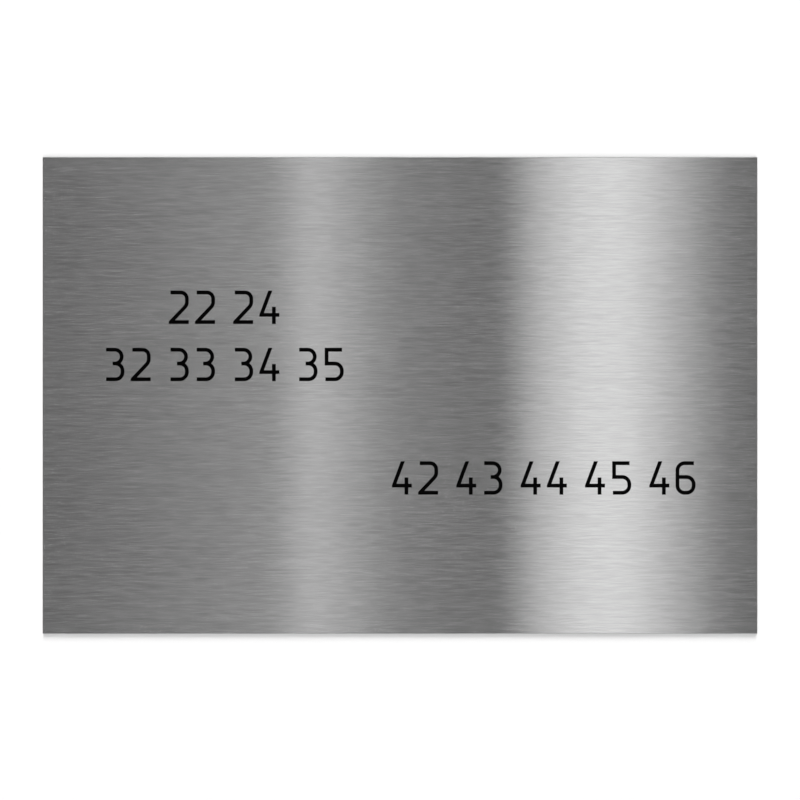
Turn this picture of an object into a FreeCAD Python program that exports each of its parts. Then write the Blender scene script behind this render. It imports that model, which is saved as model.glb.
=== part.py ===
"""A flat stainless steel sign plate with three lines of engraved numbers.

Millimetres. The plate stands upright as it does on a wall: X runs to the reader's right, Z is up and
Y points into the wall. The origin is the middle of the back face, and the front looks along -Y.
"""
import FreeCAD, Part
import math
import os

# The plate, cut from one sheet and deburred all round
PLATE_WIDTH = 150.0
PLATE_HEIGHT = 100.0
PLATE_THICKNESS = 1.5
CORNER_RADIUS = 0.15
EDGE_ROUND = 0.12
ROUND_SHARE = 0.9  # the most of its wall that a rounding may take

# The engraving and the enamel in it
ENGRAVING_DEPTH = 0.25
ENAMEL_SET_BACK = 0.03

# Where the three lines of numbers stand on the plate
SIDE_MARGIN = 13.0
FIRST_BASELINE_DROP = 35.0  # below the top edge
LINE_PITCH = 12.0
LAST_BASELINE_RISE = 29.2  # above the bottom edge
NUMERAL_GAP = 1.3
NUMBER_GAP = 3.8
TOP_NUMBERS = ("22", "24")
MIDDLE_NUMBERS = ("32", "33", "34", "35")
BOTTOM_NUMBERS = ("42", "43", "44", "45", "46")

# The form of the numerals, drawn with one even stroke
NUMERAL_WIDTH = 4.2
NUMERAL_HEIGHT = 7.0
STROKE = 0.8
BEND_RADIUS = 1.5  # of the stroke's middle line
OPEN_END_INSET = 0.35  # from the numeral's side to a stroke's open end
WAIST_RISE = 0.2  # of the waist above mid height
UPPER_BOWL_INSET = 0.18  # of the three's upper bowl
WAIST_BAR = 2.1  # length of the waist bar of the three
TWO_BEND_DROP = 2.6  # from the head line of the two to the bend into its slope
FOUR_BAR_RISE = 1.5  # of the four's bar above the foot line
FOUR_STEM_INSET = 0.75  # from the right side line to the four's stem
FOUR_STEM_REACH = 1.7  # of the stem above the bar
FOUR_TOP = 2.3  # from the left side of the four to the top of its slope
FIVE_SIDE = 0.6  # from the left side of the five to the middle of its upright

# Middle lines of the numerals' outer strokes
LEFT = STROKE / 2
RIGHT = NUMERAL_WIDTH - STROKE / 2
FOOT = STROKE / 2
HEAD = NUMERAL_HEIGHT - STROKE / 2
WAIST = NUMERAL_HEIGHT / 2 + WAIST_RISE

NOTHING = 1e-6  # a length under this counts as none


def flat(x, z):
    """A point of the upright drawing plane."""
    return FreeCAD.Vector(x, 0, z)


def turn_between(before, after):
    """The angle that a line turns by at a corner, positive to the left, seen from the front."""
    across = before.x * after.z - before.z * after.x
    return math.atan2(across, before.dot(after))


def direction(start, end):
    """The unit vector from one point to another."""
    return (end - start).normalize()


def rounded_wire(corners):
    """A closed wire through (point, radius) corners, each corner rounded by a tangent arc."""
    count = len(corners)
    arcs = []
    for index, (point, radius) in enumerate(corners):
        arriving = direction(corners[index - 1][0], point)
        leaving = direction(point, corners[(index + 1) % count][0])
        half_turn = abs(turn_between(arriving, leaving)) / 2
        setback = radius * math.tan(half_turn)
        start = point - arriving * setback
        end = point + leaving * setback
        inward = radius / math.cos(half_turn) - radius
        middle = point
        if inward > NOTHING:
            middle = point + (leaving - arriving).normalize() * inward
        arcs.append((start, middle, end))
    edges = []
    for index, (start, middle, end) in enumerate(arcs):
        last_end = arcs[index - 1][2]
        if (start - last_end).Length > NOTHING:
            edges.append(Part.LineSegment(last_end, start).toShape())
        if (end - start).Length > NOTHING:
            edges.append(Part.Arc(start, middle, end).toShape())
    return Part.Wire(edges)


def rounded_rectangle(left, right, bottom, top, radius):
    """A flat rectangle with rounded corners; the radius is at most half of a side."""
    radius = min(radius, (right - left) / 2, (top - bottom) / 2)
    corners = [flat(left, bottom), flat(right, bottom), flat(right, top), flat(left, top)]
    return Part.Face(rounded_wire([(corner, radius) for corner in corners]))


def stroke(points, sharp=()):
    """An open stroke along a run of points, with bends rounded except at the sharp point numbers."""
    half = STROKE / 2
    runs = [direction(start, end) for start, end in zip(points, points[1:])]
    sides = [flat(-run.z, run.x) for run in runs]
    room = [(end - start).Length / 2 for start, end in zip(points, points[1:])]
    room[0] *= 2
    room[-1] *= 2
    left_side = [(points[0] + sides[0] * half, 0)]
    right_side = [(points[0] - sides[0] * half, 0)]
    for number in range(1, len(points) - 1):
        turn = turn_between(runs[number - 1], runs[number])
        radius = min(BEND_RADIUS, min(room[number - 1:number + 1]) / math.tan(abs(turn) / 2))
        mitre = (sides[number - 1] + sides[number]) * (half / (1 + sides[number - 1].dot(sides[number])))
        inside_left = math.copysign(half, turn)
        left_radius = max(radius - inside_left, 0)
        right_radius = max(radius + inside_left, 0)
        if number in sharp:
            left_radius = 0
            right_radius = 0
        left_side.append((points[number] + mitre, left_radius))
        right_side.append((points[number] - mitre, right_radius))
    left_side.append((points[-1] + sides[-1] * half, 0))
    right_side.append((points[-1] - sides[-1] * half, 0))
    return Part.Face(rounded_wire(left_side + right_side[::-1]))


def two():
    """Two: an arched head, a slope down to the left and a straight foot."""
    slope_foot = flat(LEFT, FOOT)
    bend = flat(RIGHT, HEAD - TWO_BEND_DROP)
    return [stroke([flat(OPEN_END_INSET, HEAD), flat(RIGHT, HEAD), bend, slope_foot,
                    flat(NUMERAL_WIDTH, FOOT)], sharp=(3,))]


def three():
    """Three: two open bowls that share a short bar at the waist."""
    bar_start = flat(RIGHT - WAIST_BAR, WAIST)
    upper_side = RIGHT - UPPER_BOWL_INSET
    upper = stroke([flat(OPEN_END_INSET, HEAD), flat(upper_side, HEAD), flat(upper_side, WAIST), bar_start])
    lower = stroke([bar_start, flat(RIGHT, WAIST), flat(RIGHT, FOOT), flat(OPEN_END_INSET, FOOT)])
    return [upper, lower]


def four():
    """Four: a slope and a bar with a sharp elbow, crossed by a short stem."""
    bar = FOOT + FOUR_BAR_RISE
    elbow = flat(LEFT, bar)
    slope_top = flat(FOUR_TOP, NUMERAL_HEIGHT)
    past_top = slope_top + direction(elbow, slope_top) * STROKE
    stem = RIGHT - FOUR_STEM_INSET
    slope_and_bar = stroke([past_top, elbow, flat(NUMERAL_WIDTH, bar)], sharp=(1,))
    return [slope_and_bar, stroke([flat(stem, bar + FOUR_STEM_REACH), flat(stem, 0)])]


def five():
    """Five: a square-cornered flag over an open bowl."""
    flag = [flat(NUMERAL_WIDTH - OPEN_END_INSET, HEAD), flat(FIVE_SIDE, HEAD), flat(FIVE_SIDE, WAIST)]
    open_bowl = [flat(RIGHT, WAIST), flat(RIGHT, FOOT), flat(OPEN_END_INSET, FOOT)]
    return [stroke(flag + open_bowl, sharp=(1, 2))]


def six():
    """Six: a hook down the left side and round the foot, closed by a bowl top."""
    side_middle = flat(RIGHT, (FOOT + WAIST) / 2)
    hook = stroke([flat(NUMERAL_WIDTH - OPEN_END_INSET, HEAD), flat(LEFT, HEAD), flat(LEFT, FOOT),
                   flat(RIGHT, FOOT), side_middle])
    bowl_top = stroke([side_middle, flat(RIGHT, WAIST), flat(LEFT, WAIST)])
    return [hook, bowl_top]


NUMERALS = {"2": two, "3": three, "4": four, "5": five, "6": six}


def numeral(figure):
    """One numeral as a single flat face, trimmed to its own width and height."""
    strokes = NUMERALS[figure]()
    drawn = strokes[0].multiFuse(strokes[1:]).removeSplitter()
    frame = rounded_rectangle(0, NUMERAL_WIDTH, 0, NUMERAL_HEIGHT, 0)
    return drawn.common(frame).removeSplitter().Faces[0]


def number_width(number):
    """The width of one number, from its first numeral to its last."""
    return len(number) * NUMERAL_WIDTH + (len(number) - 1) * NUMERAL_GAP


def line_width(numbers):
    """The width of a whole line of numbers."""
    return sum(number_width(number) for number in numbers) + (len(numbers) - 1) * NUMBER_GAP


def line_of_numbers(numbers, start, baseline):
    """The flat numerals of one line, which starts and stands where it is told."""
    faces = []
    for number in numbers:
        for place, figure in enumerate(number):
            face = numeral(figure)
            face.translate(flat(start + place * (NUMERAL_WIDTH + NUMERAL_GAP), baseline))
            faces.append(face)
        start += number_width(number) + NUMBER_GAP
    return faces


def all_numerals():
    """The three lines: the first centred over the second at the left, the last at the right."""
    left_margin = -PLATE_WIDTH / 2 + SIDE_MARGIN
    right_margin = PLATE_WIDTH / 2 - SIDE_MARGIN
    first_baseline = PLATE_HEIGHT / 2 - FIRST_BASELINE_DROP
    last_baseline = -PLATE_HEIGHT / 2 + LAST_BASELINE_RISE
    centring = (line_width(MIDDLE_NUMBERS) - line_width(TOP_NUMBERS)) / 2
    return (line_of_numbers(TOP_NUMBERS, left_margin + centring, first_baseline)
            + line_of_numbers(MIDDLE_NUMBERS, left_margin, first_baseline - LINE_PITCH)
            + line_of_numbers(BOTTOM_NUMBERS, right_margin - line_width(BOTTOM_NUMBERS), last_baseline))


def filled(faces, front, back):
    """The numerals as solids that reach from one depth behind the front face to another."""
    solids = []
    for face in faces:
        set_in = face.translated(FreeCAD.Vector(0, front - PLATE_THICKNESS, 0))
        solids.append(set_in.extrude(FreeCAD.Vector(0, back - front, 0)))
    return solids


def sign_plate(faces):
    """The sheet, with its rims deburred and the numerals cut into its front."""
    outline = rounded_rectangle(-PLATE_WIDTH / 2, PLATE_WIDTH / 2, -PLATE_HEIGHT / 2, PLATE_HEIGHT / 2,
                                CORNER_RADIUS)
    sheet = outline.extrude(FreeCAD.Vector(0, -PLATE_THICKNESS, 0))
    rims = [edge for edge in sheet.Edges if edge.BoundBox.YLength < NOTHING]
    rounding = min(EDGE_ROUND, CORNER_RADIUS * ROUND_SHARE, PLATE_THICKNESS / 2 * ROUND_SHARE)
    deburred = sheet.makeFillet(rounding, rims)
    return deburred.cut(Part.makeCompound(filled(faces, 0, ENGRAVING_DEPTH)))


def numeral_infill(faces):
    """The enamel in the engraving, a little below the plate's front."""
    return Part.makeCompound(filled(faces, ENAMEL_SET_BACK, ENGRAVING_DEPTH))


drawn_numerals = all_numerals()
os.makedirs("parts", exist_ok=True)
sign_plate(drawn_numerals).exportStep("parts/sign_plate.step")
numeral_infill(drawn_numerals).exportStep("parts/numeral_infill.step")
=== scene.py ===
"""The looks of a brushed stainless steel sign plate with engraved, black-filled numbers.

Metres, in the plate's own frame: X runs to the reader's right, Z is up, the front faces -Y and the back
lies at y = 0 against the wall. Sizes of finishes are written in millimetres and turned into metres by MM.
"""
import math

import bmesh
import bpy
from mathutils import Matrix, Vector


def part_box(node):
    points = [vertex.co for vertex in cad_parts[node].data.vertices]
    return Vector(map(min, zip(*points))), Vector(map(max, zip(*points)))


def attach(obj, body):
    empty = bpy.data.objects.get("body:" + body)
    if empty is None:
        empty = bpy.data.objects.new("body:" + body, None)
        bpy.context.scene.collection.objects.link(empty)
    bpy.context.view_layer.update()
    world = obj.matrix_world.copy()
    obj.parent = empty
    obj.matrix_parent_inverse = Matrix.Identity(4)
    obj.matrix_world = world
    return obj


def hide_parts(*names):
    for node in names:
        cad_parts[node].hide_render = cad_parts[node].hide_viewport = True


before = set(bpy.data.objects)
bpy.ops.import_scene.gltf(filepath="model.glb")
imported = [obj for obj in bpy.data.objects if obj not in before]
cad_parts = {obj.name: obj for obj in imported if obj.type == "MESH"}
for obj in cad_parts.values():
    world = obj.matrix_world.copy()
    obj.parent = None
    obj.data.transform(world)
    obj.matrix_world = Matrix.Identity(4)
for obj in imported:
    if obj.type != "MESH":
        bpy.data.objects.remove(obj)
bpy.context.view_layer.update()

# The plate: one flat sheet of stainless steel, cut to size with its rims deburred. Its front is brushed
# lengthwise, its back keeps the dull finish that the sheet left the mill with, and the numbers are engraved
# in the front with a small cutter.
MM = 0.001
plate_low, plate_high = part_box("sign_plate")
FRONT = plate_low.y
BACK = plate_high.y
RIM_ROOM = 0.5 * MM  # how far in from the outline the rim's rounding may reach
FLUSH = 0.01 * MM  # a face this near to the front or the back lies in it
FACING = 0.999  # a face whose normal has this much of an axis looks along it
BRUSHED_GREY = 0.6
MILL_GREY = 0.55
RIM_GREY = 0.52
ENGRAVED_GREY = 0.3
ROW_SPREAD = 1000  # the rows of hairlines are read from places up to this far apart in the noise
FRONT_FINISH, BACK_FINISH, RIM_FINISH, ENGRAVED_FINISH = range(4)  # in the order the plate takes them


def finish(name):
    """A new surface finish: its material, its node tree and its shader."""
    material = bpy.data.materials.new(name)
    material.use_nodes = True
    tree = material.node_tree
    return material, tree, tree.nodes["Principled BSDF"]


def reckon(tree, operation, *terms):
    """The result of one step of arithmetic, where a term is a number or another node's output."""
    step = tree.nodes.new("ShaderNodeMath")
    step.operation = operation
    for socket, term in zip(step.inputs, terms):
        if isinstance(term, bpy.types.NodeSocket):
            tree.links.new(term, socket)
        else:
            socket.default_value = term
    return step.outputs["Value"]


def noise(tree, along, through, up, detail=0.0, offset=0.0):
    """Noise with cells of that size in millimetres along X, through the sheet and up."""
    place = tree.nodes.new("ShaderNodeTexCoord")
    stretch = tree.nodes.new("ShaderNodeMapping")
    stretch.inputs["Location"].default_value = (offset, offset, offset)
    stretch.inputs["Scale"].default_value = [1 / (side * MM) for side in (along, through, up)]
    texture = tree.nodes.new("ShaderNodeTexNoise")
    texture.inputs["Scale"].default_value = 1
    texture.inputs["Detail"].default_value = detail
    tree.links.new(place.outputs["Object"], stretch.inputs["Vector"])
    tree.links.new(stretch.outputs["Vector"], texture.inputs["Vector"])
    return texture.outputs["Fac"]


def straight_lines(tree, length, width):
    """Rows of straight lines along X, that wide, each with its own run of stretches about that long."""
    place = tree.nodes.new("ShaderNodeTexCoord")
    split = tree.nodes.new("ShaderNodeSeparateXYZ")
    tree.links.new(place.outputs["Object"], split.inputs["Vector"])
    row = reckon(tree, "FLOOR", reckon(tree, "DIVIDE", split.outputs["Z"], width * MM))
    lot = tree.nodes.new("ShaderNodeTexWhiteNoise")
    lot.noise_dimensions = "1D"
    tree.links.new(row, lot.inputs["W"])
    spot = tree.nodes.new("ShaderNodeCombineXYZ")
    tree.links.new(reckon(tree, "DIVIDE", split.outputs["X"], length * MM), spot.inputs["X"])
    tree.links.new(reckon(tree, "MULTIPLY", lot.outputs["Value"], ROW_SPREAD), spot.inputs["Y"])
    texture = tree.nodes.new("ShaderNodeTexNoise")
    texture.noise_dimensions = "2D"
    texture.inputs["Scale"].default_value = 1
    texture.inputs["Detail"].default_value = 0
    tree.links.new(spot.outputs["Vector"], texture.inputs["Vector"])
    return texture.outputs["Fac"]


def mixed(tree, layers):
    """The sum of (noise, weight) layers, each counted from its middle, so that the sum is about zero."""
    total = -sum(weight for layer, weight in layers) / 2
    for layer, weight in layers:
        total = reckon(tree, "MULTIPLY_ADD", layer, weight, total)
    return total


def drive(tree, value, socket, middle, swing):
    """Feeds a shader socket with middle plus the value times swing."""
    tree.links.new(reckon(tree, "MULTIPLY_ADD", value, swing, middle), socket)


def bump(tree, shader, height, depth):
    """Raises the surface by the height value times that depth in millimetres."""
    relief = tree.nodes.new("ShaderNodeBump")
    relief.inputs["Distance"].default_value = depth * MM
    tree.links.new(height, relief.inputs["Height"])
    tree.links.new(relief.outputs["Normal"], shader.inputs["Normal"])


def brushed_gloss(tree, shader, strength):
    """The gloss of lines along X, which spread what they mirror up and down."""
    spread = tree.nodes.new("ShaderNodeTangent")
    spread.axis = "X"
    tree.links.new(spread.outputs["Tangent"], shader.inputs["Tangent"])
    shader.inputs["Anisotropic"].default_value = strength


def brushed_front():
    """Hairlines along X: short fine ones, long thin ones and broad faint drifts of the belt.

    They are levelled off, because no line is cut deeper than the belt's grit reaches. The more a spot is
    scratched, the paler it is and the more light it scatters evenly.
    """
    material, tree, shader = finish("brushed_front")
    fine = straight_lines(tree, length=3.6, width=0.11)
    long_lines = straight_lines(tree, length=16, width=0.13)
    drift = noise(tree, along=30, through=5, up=1.6, offset=57)
    hairlines = reckon(tree, "TANH", mixed(tree, [(fine, 2.4), (long_lines, 1.35), (drift, 0.2)]))
    drive(tree, hairlines, shader.inputs["Base Color"], middle=BRUSHED_GREY, swing=0.072)
    drive(tree, hairlines, shader.inputs["Metallic"], middle=0.96, swing=-0.05)
    drive(tree, hairlines, shader.inputs["Roughness"], middle=0.25, swing=0.02)
    brushed_gloss(tree, shader, strength=1)
    bump(tree, shader, hairlines, depth=0.0006)
    return material


def mill_back():
    """The rolled sheet as the mill leaves it: dull, with rolling lines, pickled grain and soft clouds."""
    material, tree, shader = finish("mill_back")
    rolling = noise(tree, along=45, through=5, up=0.3, detail=1)
    broad_lines = noise(tree, along=90, through=5, up=2.2, detail=1, offset=41)
    clouds = noise(tree, along=14, through=5, up=9, detail=3, offset=12)
    pickled = noise(tree, along=0.5, through=0.5, up=0.3, detail=2, offset=77)
    skin = mixed(tree, [(rolling, 0.7), (broad_lines, 0.35), (clouds, 0.35), (pickled, 0.6)])
    shader.inputs["Metallic"].default_value = 1
    drive(tree, skin, shader.inputs["Base Color"], middle=MILL_GREY, swing=0.24)
    drive(tree, skin, shader.inputs["Roughness"], middle=0.33, swing=0.08)
    brushed_gloss(tree, shader, strength=0.5)
    bump(tree, shader, pickled, depth=0.004)
    return material


def cut_rim():
    """The sawn and deburred edge: fine lines through the sheet's thickness and a duller tone."""
    material, tree, shader = finish("cut_rim")
    cut_lines = noise(tree, along=0.16, through=2.5, up=0.16, detail=2)
    rubbed = noise(tree, along=4, through=1, up=4, detail=1, offset=9)
    marks = mixed(tree, [(cut_lines, 1.0), (rubbed, 0.6)])
    shader.inputs["Metallic"].default_value = 1
    drive(tree, marks, shader.inputs["Base Color"], middle=RIM_GREY, swing=0.2)
    drive(tree, marks, shader.inputs["Roughness"], middle=0.42, swing=0.15)
    bump(tree, shader, cut_lines, depth=0.015)
    return material


def engraved_wall():
    """The bare wall that the cutter leaves above the enamel, with its tool marks."""
    material, tree, shader = finish("engraved_wall")
    tool_marks = noise(tree, along=0.12, through=0.06, up=0.12, detail=2)
    shader.inputs["Metallic"].default_value = 1
    drive(tree, tool_marks, shader.inputs["Base Color"], middle=ENGRAVED_GREY, swing=0.1)
    drive(tree, tool_marks, shader.inputs["Roughness"], middle=0.45, swing=0.15)
    return material


def plate_zone(face):
    """The number of the finish that a face of the plate has."""
    spot = face.center
    if face.normal.y < -FACING and spot.y < FRONT + FLUSH:
        return FRONT_FINISH
    if face.normal.y > FACING and spot.y > BACK - FLUSH:
        return BACK_FINISH
    inside = (plate_low.x + RIM_ROOM < spot.x < plate_high.x - RIM_ROOM
              and plate_low.z + RIM_ROOM < spot.z < plate_high.z - RIM_ROOM)
    return ENGRAVED_FINISH if inside else RIM_FINISH


plate_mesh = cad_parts["sign_plate"].data.copy()
plate_mesh.materials.clear()
for plate_finish in (brushed_front(), mill_back(), cut_rim(), engraved_wall()):
    plate_mesh.materials.append(plate_finish)
for plate_face in plate_mesh.polygons:
    plate_face.material_index = plate_zone(plate_face)
plate = bpy.data.objects.new("plate", plate_mesh)
bpy.context.scene.collection.objects.link(plate)
plate.visible_diffuse = False  # the wall round it takes no light from it, and keeps its shadow
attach(plate, "root")
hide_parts("sign_plate")

# The enamel: black stove enamel wiped into the engraving and baked hard. It shrinks a little as it dries,
# so each stroke stands just below the steel and dips between its sides.
ENAMEL_BLACK = 0.001
ENAMEL_GLOSS = 0.05  # matt: it mirrors a tenth of what plain enamel does
DIP_RIM = 0.16 * MM  # how far the slope of the dip reaches in from a stroke's sides
DIP = 0.02 * MM  # how far the middle of a stroke lies below its sides
WELD_GAP = 0.0001 * MM  # points nearer to each other than this are one
CREASE_ANGLE = math.radians(30)  # an edge that turns by more stays crisp


def black_enamel():
    """Matt black with a faint grain of pigment and the streaks of wiping."""
    material, tree, shader = finish("black_enamel")
    pigment = noise(tree, along=0.08, through=0.08, up=0.08, detail=2)
    wiping = noise(tree, along=3, through=3, up=0.5, detail=1, offset=23)
    skin = mixed(tree, [(pigment, 0.6), (wiping, 0.6)])
    drive(tree, skin, shader.inputs["Base Color"], middle=ENAMEL_BLACK, swing=ENAMEL_BLACK)
    drive(tree, skin, shader.inputs["Roughness"], middle=0.55, swing=0.1)
    shader.inputs["Specular IOR Level"].default_value = ENAMEL_GLOSS
    bump(tree, shader, pigment, depth=0.004)
    return material


def dip_fronts(mesh):
    """Welds the enamel into closed skins and sinks the middle of every stroke's front below its sides."""
    shape = bmesh.new()
    shape.from_mesh(mesh)
    bmesh.ops.remove_doubles(shape, verts=shape.verts, dist=WELD_GAP)
    fronts = [face for face in shape.faces if face.normal.y < -FACING]
    bmesh.ops.inset_region(shape, faces=fronts, thickness=DIP_RIM, depth=-DIP, use_even_offset=True)
    shape.to_mesh(mesh)
    shape.free()
    if mesh.has_custom_normals:
        mesh.attributes.remove(mesh.attributes["custom_normal"])
    mesh.shade_smooth()
    mesh.set_sharp_from_angle(angle=CREASE_ANGLE)


enamel_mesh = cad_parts["numeral_infill"].data.copy()
dip_fronts(enamel_mesh)
enamel_mesh.materials.clear()
enamel_mesh.materials.append(black_enamel())
enamel = bpy.data.objects.new("enamel", enamel_mesh)
bpy.context.scene.collection.objects.link(enamel)
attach(enamel, "root")
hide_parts("numeral_infill")

# The wall and floor: a plain white wall that the plate is stuck to, with an opening behind it, and a pale
# floor below. They are seen from their fronts only, so the plate's back can be looked at through the wall.
BACK_ROUNDING = 0.12 * MM
WALL_PLANE = BACK - BACK_ROUNDING  # where the rounded rim of the back ends
WALL_OVERLAP = 0.02 * MM  # how far the wall reaches in behind the plate
WALL_REACH = 1.2
FLOOR_HEIGHT = -0.3
WALL_GREY = 0.35
WALL_GLOW = 0.2  # added to the lamps' light where the wall is seen
FLOOR_GLOW = 0.45

# The one face of a rectangle, and the four faces between a rectangle and the next one
ONE_FACE = [(0, 1, 2, 3)]
FOUR_SIDES = [(corner, (corner + 1) % 4, (corner + 1) % 4 + 4, corner + 4) for corner in range(4)]


def shown_light(tree, light, plain, shown):
    """Sets a light's strength: shown to the eye, in mirrors and through glass, and plain elsewhere."""
    ray = tree.nodes.new("ShaderNodeLightPath")
    mirrored = reckon(tree, "ADD", ray.outputs["Is Glossy Ray"], ray.outputs["Is Transmission Ray"])
    seen = reckon(tree, "ADD", ray.outputs["Is Camera Ray"], mirrored)
    strength = tree.nodes.new("ShaderNodeMapRange")
    strength.inputs["To Min"].default_value = plain
    strength.inputs["To Max"].default_value = shown
    tree.links.new(seen, strength.inputs["Value"])
    tree.links.new(strength.outputs["Result"], light.inputs["Strength"])


def background(name, glow):
    """White paint that shows as white to the camera and in gloss, and clear from behind."""
    material = bpy.data.materials.new(name)
    material.use_nodes = True
    tree = material.node_tree
    nodes = tree.nodes
    nodes.remove(nodes["Principled BSDF"])
    paint = nodes.new("ShaderNodeBsdfDiffuse")
    paint.inputs["Color"].default_value = (WALL_GREY, WALL_GREY, WALL_GREY, 1)
    light = nodes.new("ShaderNodeEmission")
    shown_light(tree, light, plain=0, shown=glow)
    painted = nodes.new("ShaderNodeAddShader")
    tree.links.new(paint.outputs["BSDF"], painted.inputs[0])
    tree.links.new(light.outputs["Emission"], painted.inputs[1])
    clear = nodes.new("ShaderNodeBsdfTransparent")
    side = nodes.new("ShaderNodeNewGeometry")
    either_side = nodes.new("ShaderNodeMixShader")
    tree.links.new(side.outputs["Backfacing"], either_side.inputs["Fac"])
    tree.links.new(painted.outputs["Shader"], either_side.inputs[1])
    tree.links.new(clear.outputs["BSDF"], either_side.inputs[2])
    tree.links.new(either_side.outputs["Shader"], nodes["Material Output"].inputs["Surface"])
    return material


def flat_mesh(name, points, faces, material):
    """A stage piece made of a few flat faces."""
    mesh = bpy.data.meshes.new(name)
    mesh.from_pydata(points, [], faces)
    mesh.materials.append(material)
    piece = bpy.data.objects.new(name, mesh)
    bpy.context.scene.collection.objects.link(piece)
    return piece


def rectangle(left, right, low, high, depth):
    """The corners of an upright rectangle, counted so that its face looks along -Y."""
    return [(left, depth, low), (right, depth, low), (right, depth, high), (left, depth, high)]


wall_outline = rectangle(-WALL_REACH, WALL_REACH, FLOOR_HEIGHT, WALL_REACH, WALL_PLANE)
wall_opening = rectangle(plate_low.x + WALL_OVERLAP, plate_high.x - WALL_OVERLAP,
                         plate_low.z + WALL_OVERLAP, plate_high.z - WALL_OVERLAP, WALL_PLANE)
wall = flat_mesh("wall", wall_outline + wall_opening, FOUR_SIDES, background("wall_paint", WALL_GLOW))
floor_outline = [(-WALL_REACH, -WALL_REACH, FLOOR_HEIGHT), (WALL_REACH, -WALL_REACH, FLOOR_HEIGHT),
                 (WALL_REACH, WALL_REACH, FLOOR_HEIGHT), (-WALL_REACH, WALL_REACH, FLOOR_HEIGHT)]
floor = flat_mesh("floor", floor_outline, ONE_FACE, background("floor_paint", FLOOR_GLOW))
floor.visible_shadow = False  # lets the lower lamp's light through to the wall

# The light: a diffusing card close in front of the plate with lit strips on it, which the steel mirrors as
# upright bands, with grey wings round it and a graded card behind the plate. Two strip lamps light only the
# wall and floor, and a soft fill lamp only the plate.
CARD_GAP = 90 * MM
CARD_REACH = 300 * MM
CARD_HEIGHT = 200 * MM
CARD_STRENGTH = 1.2  # above the brightest level, because the cards' shades are shares of it
BACK_CARD_GAP = 150 * MM
BACK_CARD_REACH = 500 * MM
WALL_LAMP_GAP = 3.0
WALL_LAMP_WIDTH = 0.3
FILL_LAMP_GAP = 1.0
FILL_LAMP_WIDTH = 1.0
LEVEL_SIGHT = math.radians(90)  # tips what looks straight down until it looks along +Y
AIR_LIGHT = 0.1  # what the air around lights the pieces with
AIR_SHOWN = 1  # how bright it is where it is seen: white

# Along the cards: how far a place is from the middle, in millimetres, and how bright it is there
FAR_LEFT_LAMP = [(-300, 0.37), (-230, 0.72), (-160, 0.37)]
LEFT_SHADE = [(-95, 0.185), (-60, 0.295), (-33, 0.4)]
NARROW_STRIP = [(-23, 0.76), (-12, 0.515), (0, 0.31)]
DARK_GAP = [(27, 0.19)]
BROAD_STRIP = [(35, 0.68), (48, 1.1), (58, 1.15), (83.5, 0.285)]
RIGHT_SHADE = [(96, 0.16)]
FAR_RIGHT_LAMP = [(160, 0.57), (230, 0.27), (300, 0.57)]
WING_LEVELS = [(-300, 0.35), (300, 0.35)]
BACK_LEVELS = [(-500, 0.5), (-150, 0.35), (-60, 0.45), (-10, 0.95), (35, 0.7), (110, 0.35), (500, 0.5)]


def glow_card(name, points, faces, levels):
    """A card that only gloss shows: it isn't seen straight, and it neither lights nor shades the rest."""
    material = bpy.data.materials.new(name)
    material.use_nodes = True
    tree = material.node_tree
    tree.nodes.remove(tree.nodes["Principled BSDF"])
    place = tree.nodes.new("ShaderNodeTexCoord")
    split = tree.nodes.new("ShaderNodeSeparateXYZ")
    along = tree.nodes.new("ShaderNodeMapRange")
    first = levels[0][0]
    last = levels[-1][0]
    along.inputs["From Min"].default_value = first * MM
    along.inputs["From Max"].default_value = last * MM
    ramp = tree.nodes.new("ShaderNodeValToRGB")
    stops = ramp.color_ramp.elements
    ready_stops = len(stops)
    for number, (spot, level) in enumerate(levels):
        share = (spot - first) / (last - first)
        stop = stops[number] if number < ready_stops else stops.new(share)
        stop.position = share
        stop.color = (level / CARD_STRENGTH, level / CARD_STRENGTH, level / CARD_STRENGTH, 1)
    light = tree.nodes.new("ShaderNodeEmission")
    light.inputs["Strength"].default_value = CARD_STRENGTH
    tree.links.new(place.outputs["Object"], split.inputs["Vector"])
    tree.links.new(split.outputs["X"], along.inputs["Value"])
    tree.links.new(along.outputs["Result"], ramp.inputs["Fac"])
    tree.links.new(ramp.outputs["Color"], light.inputs["Color"])
    tree.links.new(light.outputs["Emission"], tree.nodes["Material Output"].inputs["Surface"])
    card = flat_mesh(name, points, faces, material)
    card.visible_camera = False
    card.visible_diffuse = False
    card.visible_shadow = False


def lamp(name, width, low, high, gap, power, lit_pieces):
    """An upright lamp between two heights, that far in front of the wall, which lights only some pieces."""
    light = bpy.data.lights.new(name, "AREA")
    light.shape = "RECTANGLE"
    light.size = width
    light.size_y = high - low
    light.energy = power
    hung = bpy.data.objects.new(name, light)
    hung.location = (0, -gap, (low + high) / 2)
    hung.rotation_euler = (LEVEL_SIGHT, 0, 0)
    lit = bpy.data.collections.new("lit_by_" + name)
    for piece in lit_pieces:
        lit.objects.link(piece)
    hung.light_linking.receiver_collection = lit
    bpy.context.scene.collection.objects.link(hung)
    return hung


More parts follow.
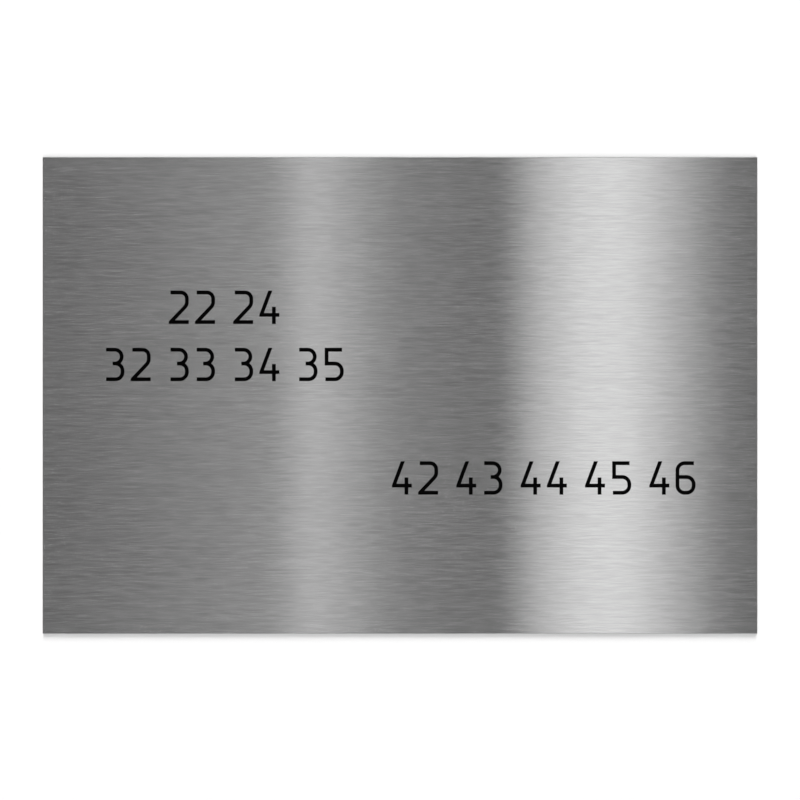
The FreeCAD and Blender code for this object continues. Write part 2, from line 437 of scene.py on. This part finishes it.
card_levels = (FAR_LEFT_LAMP + LEFT_SHADE + NARROW_STRIP + DARK_GAP + BROAD_STRIP + RIGHT_SHADE
               + FAR_RIGHT_LAMP)
card_outline = rectangle(-CARD_REACH, CARD_REACH, -CARD_HEIGHT, CARD_HEIGHT, FRONT - CARD_GAP)
wing_foot = rectangle(-CARD_REACH, CARD_REACH, -CARD_HEIGHT, CARD_HEIGHT, WALL_PLANE)
back_outline = rectangle(-BACK_CARD_REACH, BACK_CARD_REACH, -BACK_CARD_REACH, BACK_CARD_REACH,
                         BACK + BACK_CARD_GAP)
glow_card("front_card", card_outline, ONE_FACE, card_levels)
glow_card("card_wings", card_outline + wing_foot, FOUR_SIDES, WING_LEVELS)
glow_card("back_card", back_outline, ONE_FACE, BACK_LEVELS)

lamp("wall_lamp_above", WALL_LAMP_WIDTH, low=1.35, high=4.95, gap=WALL_LAMP_GAP, power=400,
     lit_pieces=[wall, floor])
lamp("wall_lamp_below", WALL_LAMP_WIDTH, low=-3.15, high=-0.15, gap=WALL_LAMP_GAP, power=125,
     lit_pieces=[wall, floor])
fill_lamp = lamp("fill_lamp", FILL_LAMP_WIDTH, low=-0.5, high=0.5, gap=FILL_LAMP_GAP, power=13,
                 lit_pieces=[plate])
fill_lamp.visible_glossy = False  # the steel scatters its light but doesn't mirror the lamp

world = bpy.data.worlds.new("studio")
world.use_nodes = True
air = world.node_tree.nodes["Background"]
air.inputs["Color"].default_value = (1, 1, 1, 1)
shown_light(world.node_tree, air, plain=AIR_LIGHT, shown=AIR_SHOWN)
bpy.context.scene.world = world

# The camera: square on to the plate's front, with the plate a little above the middle of the picture. Its
# long lens shows next to nothing of the rims.
LENS = 85
SENSOR = 36
PICTURE_WIDTH = 167.8 * MM  # what the picture takes in at the plate's front
PLATE_RISE = 0.95 * MM  # of the plate's middle above the picture's middle
camera_data = bpy.data.cameras.new("camera")
camera_data.lens = LENS
camera_data.sensor_width = SENSOR
camera = bpy.data.objects.new("camera", camera_data)
camera.location = (0, FRONT - PICTURE_WIDTH * LENS / SENSOR, -PLATE_RISE)
camera.rotation_euler = (LEVEL_SIGHT, 0, 0)
bpy.context.scene.collection.objects.link(camera)
bpy.context.scene.camera = camera
bpy.context.scene.view_settings.view_transform = "Standard"
